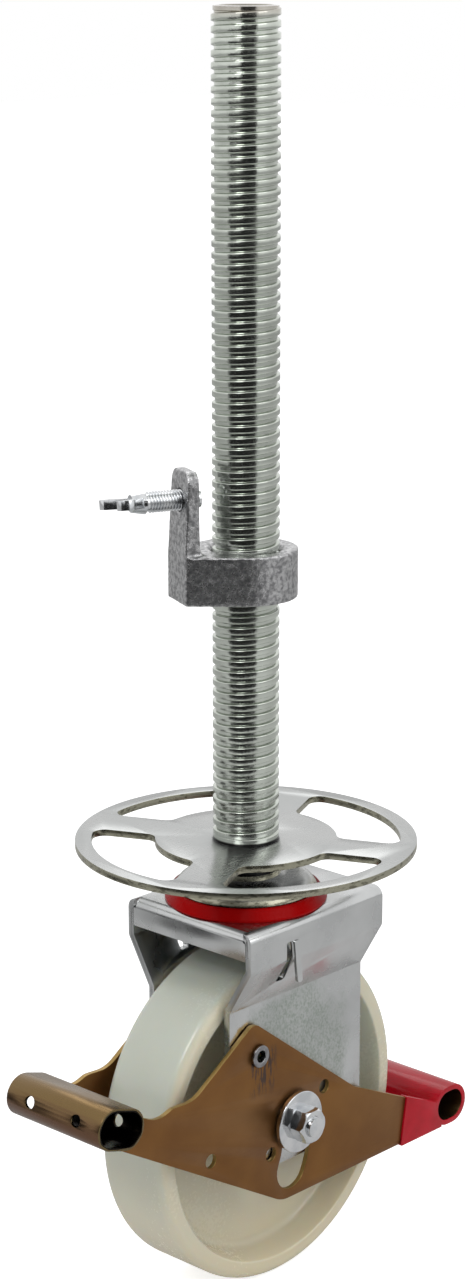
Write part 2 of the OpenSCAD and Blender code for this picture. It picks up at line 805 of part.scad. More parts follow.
// Side shape of the arm, tapered towards its tip, with a fillet where it leaves the ring
module arm_profile() {
    foot = [arm_in - arm_fillet_r, collar_h];
    polygon(concat(
        [foot - [0, 1], [arm_out, 0], [arm_out, collar_h], [arm_in + arm_tip_t, arm_h], [arm_in, arm_h]],
        arc(foot + [0, arm_fillet_r], arm_fillet_r, 0, -90)));
}

// Face of the arm seen along the screw, a little narrower at its head
module arm_face() {
    head_half = 0.46*arm_w;
    polygon(rounded([[-arm_w/2, 0], [arm_w/2, 0], [head_half, arm_h], [-head_half, arm_h]],
        [0, 0, arm_corner_r, arm_corner_r]));
}

module collar_nut() {
    color(cast_grey) translate([0, 0, collar_z]) rotate(arm_turn) difference() {
        union() {
            linear_extrude(height = collar_h) collar_plan();
            intersection() {
                translate([0, arm_w, 0]) rotate([90, 0, 0]) linear_extrude(height = 2*arm_w) arm_profile();
                rotate([90, 0, 90]) linear_extrude(height = 2*collar_d) arm_face();
            }
        }
        translate([0, 0, -1]) cylinder(r = collar_bore_r, h = collar_h + 2);
        translate([0, 0, collar_h - bore_chamfer])
            cylinder(r1 = collar_bore_r, r2 = collar_bore_r + 2*bore_chamfer, h = 2*bore_chamfer);
        translate([0, 0, screw_lift]) rotate([0, 90, 0])
            cylinder(r = screw_r + free_gap, h = 2*collar_d);
    }
}

// Outline of the two wings, round lobes spread in a V, seen square to their plane
module wing_outline() {
    for (s = [-1, 1]) hull() {
        translate([screw_hub_in + screw_hub_r/2, s*screw_hub_r/3]) circle(r = screw_hub_r/2);
        translate([screw_hub_out + wing_reach, s*(wing_span/2 - wing_tip_r)]) circle(r = wing_tip_r);
    }
}

module wing_screw() {
    color(bright_zinc) translate([0, 0, collar_z + screw_lift]) rotate(arm_turn) {
        rotate([0, 90, 0]) translate([0, 0, screw_tip_r])
            cylinder(r = screw_r, h = screw_hub_in - screw_tip_r);
        rotate([0, 90, 0]) translate([0, 0, screw_hub_in])
            cylinder(r1 = screw_hub_r, r2 = screw_hub_r - 1.5, h = screw_hub_out - screw_hub_in);
        rotate([wing_tilt, 0, 0]) translate([0, 0, -wing_t/2])
            linear_extrude(height = wing_t) wing_outline();
    }
}

spindle();
hand_disc();
swivel_cap();
kingpin();
kingpin_nut();
lower_cup();
upper_balls();
lower_balls();
seal_ring();
fork();
brake_bridge();
brake_pad();
pivot_rivet(FRONT);  // pivot_rivet_front
pivot_rivet(BACK);  // pivot_rivet_back
rocker_plate(FRONT);  // rocker_plate_front
rocker_plate(BACK);  // rocker_plate_back
handle_tube();
pedal_tube();
pedal_cover();
axle_bolt();
axle_nut();
washer(FRONT);  // washer_front
washer(BACK);  // washer_back
guide_bush(FRONT);  // guide_bush_front
guide_bush(BACK);  // guide_bush_back
bearing_sleeve();
roller_cage();
rollers();
wheel();
collar_nut();
wing_screw();
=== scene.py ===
"""Scaffold castor: finishes, threads, cast and bevelled skins round the fixed frame, lit as in a studio."""

import logging
import math
from dataclasses import dataclass, field
from enum import Enum

import bmesh
import bpy
from mathutils import Matrix, Vector


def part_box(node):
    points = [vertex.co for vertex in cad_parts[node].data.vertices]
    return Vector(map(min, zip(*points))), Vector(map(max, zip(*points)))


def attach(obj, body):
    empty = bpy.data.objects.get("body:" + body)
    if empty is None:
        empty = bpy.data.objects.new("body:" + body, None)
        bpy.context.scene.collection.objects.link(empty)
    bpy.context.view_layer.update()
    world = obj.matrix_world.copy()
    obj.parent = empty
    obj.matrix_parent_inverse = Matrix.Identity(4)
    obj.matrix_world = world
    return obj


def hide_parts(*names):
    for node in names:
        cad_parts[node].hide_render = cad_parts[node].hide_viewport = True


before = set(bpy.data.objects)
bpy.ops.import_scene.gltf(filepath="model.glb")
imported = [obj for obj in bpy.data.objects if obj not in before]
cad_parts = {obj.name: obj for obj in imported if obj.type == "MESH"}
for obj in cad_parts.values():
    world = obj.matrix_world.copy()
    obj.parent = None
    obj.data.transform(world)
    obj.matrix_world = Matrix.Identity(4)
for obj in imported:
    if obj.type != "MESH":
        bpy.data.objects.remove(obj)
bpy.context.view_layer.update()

LOG = logging.getLogger("castor")
MM = 0.001
UP = Vector((0, 0, 1))
THREAD_PROFILE_TURN = math.radians(-90.0)
WELD_DISTANCE = 2e-6
GRAIN_RELIEF = 0.3 * MM
SUBSURFACE_REACH = (0.012, 0.009, 0.006)
SUBSURFACE_SCALE = 0.6


class Body(Enum):
    """Moving bodies of the frame that pieces ride on."""

    SPINDLE = "spindle"
    FORK = "fork"
    ROCKER = "rocker"
    AXLE = "axle"
    WHEEL = "wheel"
    COLLAR = "collar"
    WING_SCREW = "wing_screw"


class Nodes:
    """Small helper that adds and wires nodes in one tree."""

    def __init__(self, tree: bpy.types.NodeTree) -> None:
        """Keep the tree to build in."""
        self.tree = tree

    def add(self, kind: str, **settings: object) -> bpy.types.Node:
        """Add a node and set its plain properties.

        Args:
            kind: Blender's node type.
            settings: properties to set on the node.
        Returns:
            The new node.
        """
        node = self.tree.nodes.new(kind)
        for key, value in settings.items():
            setattr(node, key, value)
        return node

    def link(self, source: bpy.types.NodeSocket, target: bpy.types.NodeSocket) -> None:
        """Wire one socket to another."""
        self.tree.links.new(source, target)

    def feed(self, target: bpy.types.NodeSocket, value: object) -> None:
        """Wire a socket, or set a constant, on an input."""
        if isinstance(value, bpy.types.NodeSocket):
            self.link(value, target)
        else:
            target.default_value = value

    def math(self, operation: str, a: object, b: object = 0.0) -> bpy.types.NodeSocket:
        """Return the result of a two-value sum."""
        node = self.add("ShaderNodeMath", operation=operation)
        self.feed(node.inputs[0], a)
        self.feed(node.inputs[1], b)
        return node.outputs[0]

    def ramp(self, value: object, low: float, high: float) -> bpy.types.NodeSocket:
        """Return a value stretched so that low becomes 0 and high becomes 1."""
        node = self.add("ShaderNodeMapRange", interpolation_type="SMOOTHSTEP")
        self.feed(node.inputs["Value"], value)
        node.inputs["From Min"].default_value = low
        node.inputs["From Max"].default_value = high
        return node.outputs["Result"]

    def mix(self, share: object, a: object, b: object) -> bpy.types.NodeSocket:
        """Return colour a turned to colour b by a share."""
        node = self.add("ShaderNodeMix", data_type="RGBA")
        self.feed(node.inputs["Factor"], share)
        self.feed(node.inputs["A"], a)
        self.feed(node.inputs["B"], b)
        return node.outputs["Result"]

    def noise(self, place: object, scale: float, detail: float = 4.0) -> bpy.types.NodeSocket:
        """Return a cloudy pattern from 0 to 1 over object coordinates."""
        node = self.add("ShaderNodeTexNoise")
        self.feed(node.inputs["Vector"], place)
        node.inputs["Scale"].default_value = scale
        node.inputs["Detail"].default_value = detail
        return node.outputs["Fac"]

    def split(self, vector: bpy.types.NodeSocket) -> bpy.types.NodeOutputs:
        """Return the X, Y and Z of a vector."""
        node = self.add("ShaderNodeSeparateXYZ")
        self.link(vector, node.inputs[0])
        return node.outputs

    def stretch(self, place: object, scale: tuple[float, float, float]) -> bpy.types.NodeSocket:
        """Return coordinates scaled per axis, for grain that runs one way."""
        node = self.add("ShaderNodeMapping")
        self.feed(node.inputs["Vector"], place)
        node.inputs["Scale"].default_value = scale
        return node.outputs["Vector"]


def rgba(colour: tuple[float, float, float]) -> tuple[float, float, float, float]:
    """Return a colour with full alpha."""
    return (*colour, 1.0)


def grain_group() -> bpy.types.NodeTree:
    """Return the shared group for fine drawn grain and cloudy variation.

    Returns:
        A group with inputs Vector, Cloud Scale, Grain Scale, Stretch and outputs Cloud, Grain, Speck.
    """
    found = bpy.data.node_groups.get("surface_grain")
    if found:
        return found
    group = bpy.data.node_groups.new("surface_grain", "ShaderNodeTree")
    face = group.interface
    face.new_socket("Vector", in_out="INPUT", socket_type="NodeSocketVector")
    for name, value in (("Cloud Scale", 40.0), ("Grain Scale", 900.0)):
        face.new_socket(name, in_out="INPUT", socket_type="NodeSocketFloat").default_value = value
    face.new_socket("Stretch", in_out="INPUT", socket_type="NodeSocketVector").default_value = (1, 1, 0.04)
    for name in ("Cloud", "Grain", "Speck"):
        face.new_socket(name, in_out="OUTPUT", socket_type="NodeSocketFloat")
    n = Nodes(group)
    given = n.add("NodeGroupInput")
    result = n.add("NodeGroupOutput")
    drawn = n.add("ShaderNodeVectorMath", operation="MULTIPLY")
    n.link(given.outputs["Vector"], drawn.inputs[0])
    n.link(given.outputs["Stretch"], drawn.inputs[1])
    for name, place, scale, detail in (
        ("Cloud", given.outputs["Vector"], given.outputs["Cloud Scale"], 5.0),
        ("Grain", drawn.outputs[0], given.outputs["Grain Scale"], 3.0),
        ("Speck", given.outputs["Vector"], given.outputs["Grain Scale"], 2.0),
    ):
        tex = n.add("ShaderNodeTexNoise")
        n.link(place, tex.inputs["Vector"])
        n.link(scale, tex.inputs["Scale"])
        tex.inputs["Detail"].default_value = detail
        n.link(tex.outputs["Fac"], result.inputs[name])
    return group


@dataclass(frozen=True)
class Finish:
    """A plated, painted or moulded surface with cloudy tone and fine grain.

    Sizes of patterns are in cycles per metre, as they read object coordinates.
    """

    name: str
    colour: tuple[float, float, float]
    tint: tuple[float, float, float]
    metallic: float = 1.0
    rough_low: float = 0.22
    rough_high: float = 0.38
    cloud: float = 35.0
    grain: float = 900.0
    stretch: tuple[float, float, float] = (1.0, 1.0, 0.05)
    bump: float = 0.06
    shine: float = 0.5
    subsurface: float = 0.0

    def start(self) -> tuple[bpy.types.Material, Nodes, bpy.types.Node, dict[str, bpy.types.NodeSocket]]:
        """Make the material with its shader and the shared grain group.

        Returns:
            The material, a node helper, the shader node and the patterns by name.
        """
        material = bpy.data.materials.new(self.name)
        material.use_nodes = True
        n = Nodes(material.node_tree)
        shader = material.node_tree.nodes["Principled BSDF"]
        shader.inputs["Metallic"].default_value = self.metallic
        shader.inputs["Specular IOR Level"].default_value = self.shine
        shader.inputs["Subsurface Weight"].default_value = self.subsurface
        shader.inputs["Subsurface Radius"].default_value = SUBSURFACE_REACH
        shader.inputs["Subsurface Scale"].default_value = SUBSURFACE_SCALE
        place = n.add("ShaderNodeTexCoord")
        grain = n.add("ShaderNodeGroup", node_tree=grain_group())
        n.link(place.outputs["Object"], grain.inputs["Vector"])
        grain.inputs["Cloud Scale"].default_value = self.cloud
        grain.inputs["Grain Scale"].default_value = self.grain
        grain.inputs["Stretch"].default_value = self.stretch
        patterns = {k: grain.outputs[k] for k in ("Cloud", "Grain", "Speck")}
        patterns["Object"] = place.outputs["Object"]
        patterns["Normal"] = place.outputs["Normal"]
        return material, n, shader, patterns

    def finish_off(self, n: Nodes, shader: bpy.types.Node, patterns: dict, colour: object,
                   roughness: object = None) -> None:
        """Wire colour, roughness and bump to the shader.

        Args:
            n: node helper of the material.
            shader: the Principled shader.
            patterns: patterns by name.
            colour: base colour socket or constant.
            roughness: roughness socket, or None for the finish's own.
        """
        n.feed(shader.inputs["Base Color"], colour)
        if roughness is None:
            share = n.ramp(n.math("ADD", n.math("MULTIPLY", patterns["Cloud"], 0.6),
                                  n.math("MULTIPLY", patterns["Grain"], 0.4)), 0.3, 0.7)
            roughness = n.math("ADD", n.math("MULTIPLY", share, self.rough_high - self.rough_low),
                               self.rough_low)
        n.feed(shader.inputs["Roughness"], roughness)
        bump = n.add("ShaderNodeBump")
        bump.inputs["Strength"].default_value = self.bump
        bump.inputs["Distance"].default_value = GRAIN_RELIEF
        n.link(n.math("ADD", patterns["Grain"], n.math("MULTIPLY", patterns["Speck"], 0.5)),
               bump.inputs["Height"])
        n.link(bump.outputs["Normal"], shader.inputs["Normal"])

    def clouded(self, n: Nodes, patterns: dict, low: float = 0.3,
                high: float = 0.7) -> bpy.types.NodeSocket:
        """Return the colour, turned to the tint in clouds."""
        return n.mix(n.ramp(patterns["Cloud"], low, high), rgba(self.colour), rgba(self.tint))

    def dress(self, n: Nodes, shader: bpy.types.Node, patterns: dict) -> None:
        """Wire this finish's own colours to the shader."""
        self.finish_off(n, shader, patterns, self.clouded(n, patterns, 0.35, 0.68))

    def material(self) -> bpy.types.Material:
        """Return the finished material, made once."""
        found = bpy.data.materials.get(self.name)
        if found:
            return found
        material, n, shader, patterns = self.start()
        self.dress(n, shader, patterns)
        return material


@dataclass(frozen=True)
class StainedZinc(Finish):
    """Bright zinc sheet with a grey-green mottled patch where the plating stayed wet."""

    stain: tuple[float, float, float] = (0.33, 0.37, 0.33)
    stain_centre: tuple[float, float, float] = (0.006, 0.0, -0.602)
    stain_radius: float = 0.068

    def dress(self, n: Nodes, shader: bpy.types.Node, patterns: dict) -> None:
        """Wire this finish's own colours to the shader."""
        share = n.ramp(patterns["Cloud"], 0.3, 0.7)
        colour = n.mix(share, rgba(self.colour), rgba(self.tint))
        flat = n.stretch(patterns["Object"], (1.0, 0.0, 1.0))
        away = n.add("ShaderNodeVectorMath", operation="DISTANCE")
        n.link(flat, away.inputs[0])
        away.inputs[1].default_value = self.stain_centre
        ragged = n.math("ADD", away.outputs["Value"], n.math("MULTIPLY", n.noise(flat, 42.0), 0.045))
        inside = n.math("SUBTRACT", 1.0, n.ramp(ragged, self.stain_radius - 0.006, self.stain_radius + 0.012))
        flecks = n.ramp(n.noise(n.stretch(patterns["Object"], (1.3, 1.3, 1.0)), 640.0, 14.0), 0.38, 0.70)
        mask = n.math("MULTIPLY", inside, n.math("ADD", n.math("MULTIPLY", flecks, 0.65), 0.30))
        colour = n.mix(mask, colour, rgba(self.stain))
        rough = n.math("ADD", n.math("MULTIPLY", inside, 0.16),
                       n.math("ADD", n.math("MULTIPLY", share, 0.10), self.rough_low))
        self.finish_off(n, shader, patterns, colour, rough)


@dataclass(frozen=True)
class RolledZinc(Finish):
    """Zinc on the rolled thread, browned at the turned end, with a painted shade line in the corner at its
    foot.
    """

    browned: tuple[float, float, float] = (0.36, 0.25, 0.21)
    painted_foot_shade: tuple[float, float, float] = (0.02, 0.02, 0.02)
    end_low: float = -0.009
    foot: float = -0.468

    def dress(self, n: Nodes, shader: bpy.types.Node, patterns: dict) -> None:
        """Wire this finish's own colours to the shader."""
        colour = self.clouded(n, patterns)
        parts = n.split(patterns["Object"])
        end = n.math("MULTIPLY", n.ramp(parts["Z"], self.end_low, -0.001), 0.4)
        colour = n.mix(end, colour, rgba(self.browned))
        # painted shade: near-black in the corner at the thread's foot, fading out by 1.8 mm above it
        clear_of_foot_shade = n.ramp(parts["Z"], self.foot + 0.8 * MM, self.foot + 1.8 * MM)
        self.finish_off(n, shader, patterns, n.mix(clear_of_foot_shade, rgba(self.painted_foot_shade), colour))


@dataclass(frozen=True)
class EdgedZinc(Finish):
    """Flat zinc sheet whose cut rim has turned olive, with dark nicks from the press."""

    edge: tuple[float, float, float] = (0.36, 0.35, 0.27)
    nick: tuple[float, float, float] = (0.05, 0.045, 0.03)

    def dress(self, n: Nodes, shader: bpy.types.Node, patterns: dict) -> None:
        """Wire this finish's own colours to the shader."""
        colour = self.clouded(n, patterns)
        turned = n.split(patterns["Normal"])
        flat = n.ramp(n.math("ABSOLUTE", turned["Z"]), 0.55, 0.9)
        nicks = n.ramp(n.noise(n.stretch(patterns["Object"], (1.0, 1.0, 3.0)), 210.0, 8.0), 0.50, 0.62)
        rim = n.mix(n.math("MULTIPLY", nicks, 0.6), rgba(self.edge), rgba(self.nick))
        self.finish_off(n, shader, patterns, n.mix(flat, rim, colour))


@dataclass(frozen=True)
class EdgedBronze(Finish):
    """Brown passivated sheet whose cut edges stay golden, with drips under the rivet."""

    edge: tuple[float, float, float] = (0.38, 0.25, 0.085)
    drip: tuple[float, float, float] = (0.05, 0.04, 0.04)
    drip_x: float = -0.024
    drip_top: float = -0.580
    drip_length: float = 0.034
    drip_width: float = 0.022

    def dress(self, n: Nodes, shader: bpy.types.Node, patterns: dict) -> None:
        """Wire this finish's own colours to the shader."""
        colour = self.clouded(n, patterns)
        parts = n.split(patterns["Object"])
        across = n.math("ABSOLUTE", n.math("SUBTRACT", parts["X"], self.drip_x))
        beside = n.math("SUBTRACT", 1.0, n.ramp(across, 0.35 * self.drip_width, 0.6 * self.drip_width))
        down = n.math("SUBTRACT", self.drip_top, parts["Z"])
        reach = n.math("MULTIPLY", n.ramp(down, 0.0, 0.006),
                       n.math("SUBTRACT", 1.0, n.ramp(down, 0.6 * self.drip_length, self.drip_length)))
        streaks = n.ramp(n.noise(n.stretch(patterns["Object"], (1.0, 0.0, 0.22)), 420.0, 3.0), 0.46, 0.58)
        colour = n.mix(n.math("MULTIPLY", n.math("MULTIPLY", beside, reach),
                              n.math("MULTIPLY", streaks, 0.85)), colour, rgba(self.drip))
        turned = n.split(patterns["Normal"])
        side = n.ramp(n.math("ABSOLUTE", turned["Y"]), 0.55, 0.9)
        colour = n.mix(side, rgba(self.edge), colour)
        self.finish_off(n, shader, patterns, colour)


@dataclass(frozen=True)
class RainbowGold(Finish):
    """Yellow passivated tube that turns from straw through olive to purple round its section, with painted
    shade near-black on its inside wall.
    """

    purple: tuple[float, float, float] = (0.15, 0.082, 0.05)
    olive: tuple[float, float, float] = (0.19, 0.125, 0.055)
    # painted shade colour of the tube's inside wall
    inner: tuple[float, float, float] = (0.012, 0.009, 0.006)
    tube: str = "handle_tube"

    def dress(self, n: Nodes, shader: bpy.types.Node, patterns: dict) -> None:
        """Wire this finish's own colours to the shader."""
        turned = n.split(patterns["Normal"])
        waver = n.math("MULTIPLY", n.math("SUBTRACT", patterns["Cloud"], 0.5), 0.5)
        height = n.math("ADD", turned["Z"], waver)
        colour = n.mix(n.ramp(height, -0.2, 0.75), rgba(self.purple), rgba(self.olive))
        colour = n.mix(n.ramp(height, 0.72, 1.1), colour, rgba(self.colour))
        ends = n.ramp(n.math("ABSOLUTE", turned["Y"]), 0.5, 0.9)
        colour = n.mix(ends, colour, rgba(self.tint))
        # painted shade: faces of the inside wall, turned towards the tube's middle where X is below 0, are
        # made near-black
        low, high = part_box(self.tube)
        middle = (low + high) / 2
        place = n.split(patterns["Object"])
        outward = n.math("ADD", *(
            n.math("MULTIPLY", n.math("SUBTRACT", place[axis], at), turned[axis])
            for axis, at in (("X", middle.x), ("Z", middle.z))))
        inside = n.math("MULTIPLY", n.math("LESS_THAN", outward, 0.0),
                        n.math("LESS_THAN", place["X"], 0.0))
        colour = n.mix(inside, colour, rgba(self.inner))
        self.finish_off(n, shader, patterns, colour)


@dataclass(frozen=True)
class AgedNylon(Finish):
    """Ivory nylon, cool on the tread, with a painted warm glow on the sides and towards the floor that stands
    in for light through the nylon.
    """

    painted_warm_glow: tuple[float, float, float] = (0.86, 0.75, 0.52)
    scuff: tuple[float, float, float] = (0.50, 0.45, 0.35)
    glow_low: float = -0.735
    glow_high: float = -0.60

    def dress(self, n: Nodes, shader: bpy.types.Node, patterns: dict) -> None:
        """Wire this finish's own colours to the shader."""
        colour = self.clouded(n, patterns)
        turned = n.split(patterns["Normal"])
        # painted glow: faces turned to the wheel's sides and the part near the floor are tinted warmer, as
        # light coming through the nylon
        side = n.ramp(n.math("ABSOLUTE", turned["Y"]), 0.3, 0.95)
        parts = n.split(patterns["Object"])
        low = n.math("SUBTRACT", 1.0, n.ramp(parts["Z"], self.glow_low, self.glow_high))
        share = n.math("MAXIMUM", n.math("MULTIPLY", side, 0.5), n.math("MULTIPLY", low, 0.75))
        colour = n.mix(share, colour, rgba(self.painted_warm_glow))
        marks = n.ramp(n.noise(n.stretch(patterns["Object"], (1.0, 0.3, 1.0)), 60.0, 6.0), 0.64, 0.80)
        colour = n.mix(n.math("MULTIPLY", marks, 0.16), colour, rgba(self.scuff))
        self.finish_off(n, shader, patterns, colour)


ZINC = EdgedZinc("bright_zinc_sheet", (0.44, 0.445, 0.44), (0.39, 0.40, 0.395), rough_low=0.24,
                 rough_high=0.32, cloud=22.0, stretch=(0.05, 1.0, 1.0), bump=0.04)
FORK_ZINC = StainedZinc("stained_zinc_sheet", (0.60, 0.61, 0.61), (0.51, 0.52, 0.52), rough_low=0.21)
THREAD_ZINC = RolledZinc("rolled_thread_zinc", (0.62, 0.655, 0.60), (0.50, 0.53, 0.48), rough_low=0.12,
                         rough_high=0.24, cloud=60.0, stretch=(1.0, 1.0, 1.0), bump=0.10)
PLATED = Finish("fastener_zinc", (0.72, 0.73, 0.74), (0.58, 0.60, 0.62), rough_low=0.10, rough_high=0.22,
                cloud=120.0, bump=0.05)
CAST = Finish("galvanised_casting", (0.50, 0.50, 0.505), (0.21, 0.21, 0.215), rough_low=0.22, rough_high=0.36,
              cloud=420.0, grain=1800.0, stretch=(1.0, 1.0, 1.0), bump=0.5)
STEEL = Finish("machined_steel", (0.26, 0.27, 0.28), (0.18, 0.19, 0.20), rough_low=0.25, rough_high=0.4)
BALL = Finish("polished_balls", (0.66, 0.67, 0.68), (0.6, 0.61, 0.62), rough_low=0.05,
              rough_high=0.1, bump=0.01)
BRONZE = EdgedBronze("brown_passivated", (0.235, 0.108, 0.028), (0.18, 0.078, 0.021), metallic=0.75,
                     rough_low=0.30, rough_high=0.44, cloud=22.0, stretch=(0.06, 1.0, 1.0))
RIVET = Finish("grey_rivet", (0.30, 0.30, 0.31), (0.20, 0.20, 0.21), rough_low=0.2,
               rough_high=0.35, cloud=300.0)
GOLD = RainbowGold("yellow_passivated", (0.21, 0.135, 0.062), (0.17, 0.125, 0.06), rough_low=0.22,
                   rough_high=0.36, cloud=30.0, stretch=(1.0, 0.06, 1.0))
NYLON = AgedNylon("aged_ivory_nylon", (0.72, 0.76, 0.67), (0.67, 0.70, 0.61), metallic=0.0, rough_low=0.16,
                  rough_high=0.30, cloud=14.0, grain=500.0, stretch=(1.0, 1.0, 1.0), bump=0.04,
                  subsurface=0.65)
CAGE = Finish("cage_moulding", (0.05, 0.05, 0.05), (0.03, 0.03, 0.03), metallic=0.0, rough_low=0.4,
              rough_high=0.55)
RED_COAT = Finish("red_dipped_coat", (0.56, 0.003, 0.018), (0.44, 0.002, 0.012), metallic=0.0, rough_low=0.12,
                  rough_high=0.22, cloud=50.0, grain=420.0, stretch=(1.0, 1.0, 1.0), bump=0.10, shine=0.28)
RED_RING = Finish("red_seal_ring", (0.40, 0.0005, 0.001), (0.32, 0.0005, 0.001), metallic=0.0, rough_low=0.25,
                  rough_high=0.35, bump=0.04, shine=0.06)


def settle(piece: bpy.types.Object, body: Body, finish: Finish, slot: str, *nodes: str) -> bpy.types.Object:
    """Give a finished piece its material and body, and hide the nodes it stands for.

    Args:
        piece: mesh object at the origin.
        body: body it rides on.
        finish: its finish.
        slot: not used.
        nodes: frame nodes that it replaces.
    Returns:
        The piece.
    """
    piece.data.materials.clear()
    piece.data.materials.append(finish.material())
    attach(piece, body.value)
    if nodes:
        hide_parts(*nodes)
    LOG.info("%s: %d faces on %s", piece.name, len(piece.data.polygons), body.value)
    return piece


def object_of(name: str, mesh: bpy.types.Mesh) -> bpy.types.Object:
    """Return a linked object with the given mesh."""
    piece = bpy.data.objects.new(name, mesh)
    bpy.context.scene.collection.objects.link(piece)
    return piece


def bake_modifiers(piece: bpy.types.Object) -> bpy.types.Object:
    """Turn a piece's modifiers into plain mesh."""
    evaluated = piece.evaluated_get(bpy.context.evaluated_depsgraph_get())
    mesh = bpy.data.meshes.new_from_object(evaluated)
    piece.modifiers.clear()
    old = piece.data
    piece.data = mesh
    bpy.data.meshes.remove(old)
    return piece


def welded_copy(node: str, name: str, dissolve: float = math.radians(0.4)) -> bpy.types.Object:
    """Return a merged copy of a frame node, with its flat faces joined.

    Args:
        node: frame node to copy.
        name: name of the copy.
        dissolve: largest angle between faces that become one.
    Returns:
        The new object.
    """
    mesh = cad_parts[node].data.copy()
    mesh.name = name
    bm = bmesh.new()
    bm.from_mesh(mesh)
    bmesh.ops.remove_doubles(bm, verts=bm.verts, dist=WELD_DISTANCE)
    bmesh.ops.dissolve_limit(bm, angle_limit=dissolve, verts=bm.verts, edges=bm.edges)
    bm.to_mesh(mesh)
    bm.free()
    if "custom_normal" in mesh.attributes:
        mesh.attributes.remove(mesh.attributes["custom_normal"])
    return object_of(name, mesh)


def smooth_by_angle(mesh: bpy.types.Mesh, angle: float = math.radians(32.0)) -> None:
    """Shade a mesh smooth, with edges sharper than an angle kept crisp."""
    mesh.shade_smooth()
    bm = bmesh.new()
    bm.from_mesh(mesh)
    for edge in bm.edges:
        edge.smooth = not (len(edge.link_faces) == 2 and edge.calc_face_angle(0.0) > angle)
    bm.to_mesh(mesh)
    bm.free()


@dataclass
class Skin:
    """A frame node remade as a merged solid with rounded edges, so that its edges catch the light."""

    node: str
    body: Body
    finish: Finish
    slot: str
    edge_radius: float = 0.4 * MM
    segments: int = 2
    sharp: float = math.radians(38.0)

    def build(self) -> bpy.types.Object:
        """Make the piece, and return it settled."""
        piece = welded_copy(self.node, self.node + "_skin")
        if self.edge_radius > 0:
            bevel = piece.modifiers.new("edge", "BEVEL")
            bevel.width = self.edge_radius
            bevel.segments = self.segments
            bevel.limit_method = "ANGLE"
            bevel.angle_limit = self.sharp
            bevel.harden_normals = False
            bevel.use_clamp_overlap = True
            bake_modifiers(piece)
        smooth_by_angle(piece.data)
        return settle(piece, self.body, self.finish, self.slot, self.node)


def thread_tree() -> bpy.types.NodeTree:
    """Return the geometry tree that winds a screw thread down from a height.

    Returns:
        A tree with inputs Turns, Pitch, Radius, Crest Width, Foot Width, Height, Top, Edge, Steps and Finish.
    """
    found = bpy.data.node_groups.get("wound_thread")
    if found:
        return found
    tree = bpy.data.node_groups.new("wound_thread", "GeometryNodeTree")
    face = tree.interface
    face.new_socket("Geometry", in_out="INPUT", socket_type="NodeSocketGeometry")
    for name in ("Turns", "Pitch", "Radius", "Crest Width", "Foot Width", "Height", "Top", "Edge"):
        face.new_socket(name, in_out="INPUT", socket_type="NodeSocketFloat")
    face.new_socket("Steps", in_out="INPUT", socket_type="NodeSocketInt").default_value = 48
    face.new_socket("Finish", in_out="INPUT", socket_type="NodeSocketMaterial")
    face.new_socket("Geometry", in_out="OUTPUT", socket_type="NodeSocketGeometry")
    n = Nodes(tree)
    given = n.add("NodeGroupInput").outputs
    spiral = n.add("GeometryNodeCurveSpiral")
    n.link(given["Steps"], spiral.inputs["Resolution"])
    n.link(given["Turns"], spiral.inputs["Rotations"])
    n.link(given["Radius"], spiral.inputs["Start Radius"])
    n.link(given["Radius"], spiral.inputs["End Radius"])
    spiral.inputs["Reverse"].default_value = True
    height = n.math("MULTIPLY", given["Turns"], given["Pitch"])
    n.link(height, spiral.inputs["Height"])
    upright = n.add("GeometryNodeSetCurveNormal", mode="Z_UP")
    n.link(spiral.outputs["Curve"], upright.inputs["Curve"])
    ridge = n.add("GeometryNodeCurvePrimitiveQuadrilateral", mode="TRAPEZOID")
    n.link(given["Foot Width"], ridge.inputs["Bottom Width"])
    n.link(given["Crest Width"], ridge.inputs["Top Width"])
    n.link(given["Height"], ridge.inputs["Height"])
    ridge.inputs["Offset"].default_value = 0.0
    turned = n.add("GeometryNodeTransform")
    n.link(ridge.outputs["Curve"], turned.inputs["Geometry"])
    turned.inputs["Rotation"].default_value = (0.0, 0.0, THREAD_PROFILE_TURN)
    rounded = n.add("GeometryNodeFilletCurve", mode="POLY")
    n.link(turned.outputs["Geometry"], rounded.inputs["Curve"])
    n.link(given["Edge"], rounded.inputs["Radius"])
    rounded.inputs["Count"].default_value = 3
    swept = n.add("GeometryNodeCurveToMesh")
    n.link(upright.outputs["Curve"], swept.inputs["Curve"])
    n.link(rounded.outputs["Curve"], swept.inputs["Profile Curve"])
    swept.inputs["Fill Caps"].default_value = True
    foot = n.math("SUBTRACT", given["Top"], height)
    shift = n.add("ShaderNodeCombineXYZ")
    n.link(foot, shift.inputs["Z"])
    lowered = n.add("GeometryNodeTransform")
    n.link(swept.outputs["Mesh"], lowered.inputs["Geometry"])
    n.link(shift.outputs[0], lowered.inputs["Translation"])
    joined = n.add("GeometryNodeJoinGeometry")
    n.link(lowered.outputs["Geometry"], joined.inputs[0])
    n.link(given["Geometry"], joined.inputs[0])
    real = n.add("GeometryNodeRealizeInstances")
    n.link(joined.outputs[0], real.inputs[0])
    dressed = n.add("GeometryNodeSetMaterial")
    n.link(real.outputs[0], dressed.inputs["Geometry"])
    n.link(given["Finish"], dressed.inputs["Material"])
    n.link(dressed.outputs[0], n.add("NodeGroupOutput").inputs[0])
    return tree


def run_tree(piece: bpy.types.Object, tree: bpy.types.NodeTree,
             values: dict[str, object]) -> bpy.types.Object:
    """Run a geometry tree on a piece and keep its plain mesh.

    Args:
        piece: object whose mesh enters the tree.
        tree: the geometry tree.
        values: inputs by name.
    Returns:
        The piece, with the result as its mesh.
    """
    modifier = piece.modifiers.new("tree", "NODES")
    modifier.node_group = tree
    sockets = {s.name: s.identifier for s in tree.interface.items_tree if s.in_out == "INPUT"}
    for name, value in values.items():
        modifier[sockets[name]] = value
    piece.update_tag()
    return bake_modifiers(piece)


